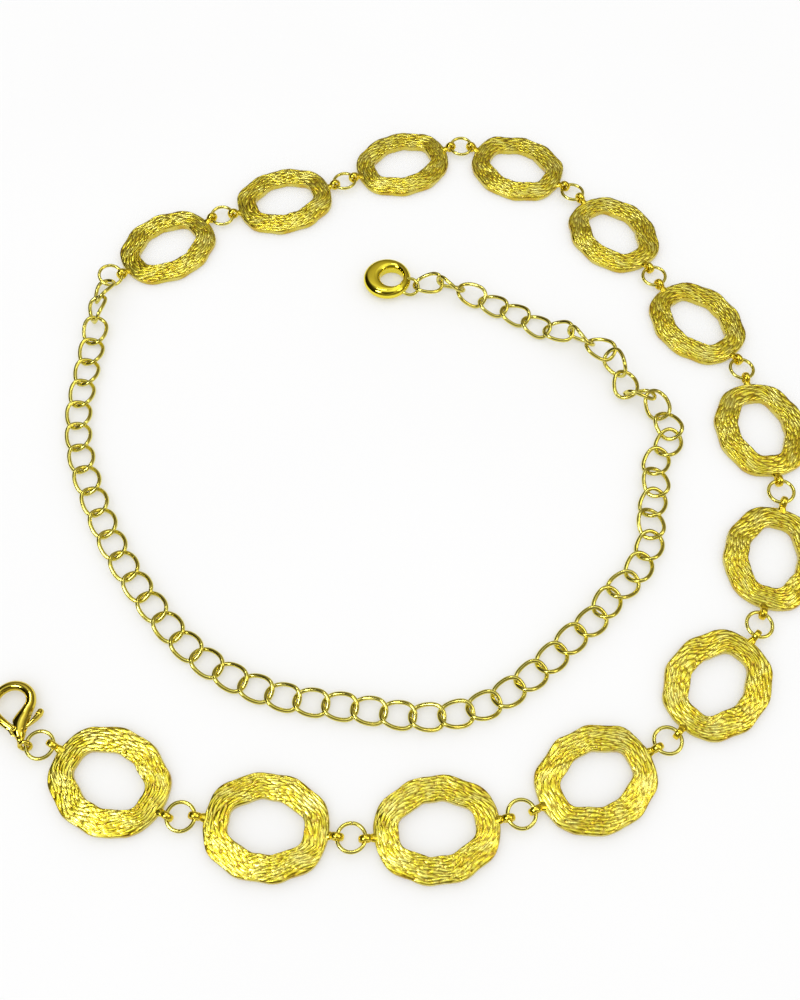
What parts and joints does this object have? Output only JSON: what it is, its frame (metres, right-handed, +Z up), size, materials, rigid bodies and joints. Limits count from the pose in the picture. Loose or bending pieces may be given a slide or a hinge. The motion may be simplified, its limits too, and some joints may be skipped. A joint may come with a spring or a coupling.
{
  "type": "waist chain",
  "caption": "Gold-tone waist chain of open oval bark-textured plaques and round rings, with a lobster clasp and an extender chain that ends in a pierced disc, lying flat.",
  "frame": {"origin": "middle of the laid-out chain's box, on the surface that it lies on", "axes": "+Z up from the surface, +X towards the right-hand plaques, +Y away from the viewer; the clasp is at low X and low Y"},
  "size_m": [0.2448, 0.2676, 0.0065],
  "materials": {
    "cast_gold": "bark-textured cast metal with yellow gold plating",
    "wire_gold": "bright yellow gold plated wire",
    "polished_gold": "mirror-polished yellow gold plating"
  },
  "bodies": {
    "chain": {"clasp_body": "polished_gold", "clasp_rivet": "polished_gold", "plaque_01": "cast_gold", "plaque_02": "cast_gold", "plaque_03": "cast_gold", "plaque_04": "cast_gold", "plaque_05": "cast_gold", "plaque_06": "cast_gold", "plaque_07": "cast_gold", "plaque_08": "cast_gold", "plaque_09": "cast_gold", "plaque_10": "cast_gold", "plaque_11": "cast_gold", "plaque_12": "cast_gold", "plaque_13": "cast_gold", "jump_ring_01": "wire_gold", "jump_ring_02": "wire_gold", "jump_ring_03": "wire_gold", "jump_ring_04": "wire_gold", "jump_ring_05": "wire_gold", "jump_ring_06": "wire_gold", "jump_ring_07": "wire_gold", "jump_ring_08": "wire_gold", "jump_ring_09": "wire_gold", "jump_ring_10": "wire_gold", "jump_ring_11": "wire_gold", "jump_ring_12": "wire_gold", "jump_ring_13": "wire_gold", "jump_ring_14": "wire_gold", "chain_run_1": "wire_gold", "chain_run_2": "wire_gold", "chain_run_3": "wire_gold", "chain_run_4": "wire_gold", "chain_run_5": "wire_gold", "chain_run_6": "wire_gold", "end_disc": "polished_gold"},
    "lever": {"clasp_lever": "polished_gold"}
  },
  "joints": [
    {"name": "lever_hinge", "type": "hinge", "parent": "chain", "child": "lever", "pos_m": [-0.11348, -0.09278, 0.002], "axis": [0, 0, 1], "range_deg": [-25, 0], "stiffness_Nm_per_rad": 0.004, "springref_deg": 28.65}
  ]
}
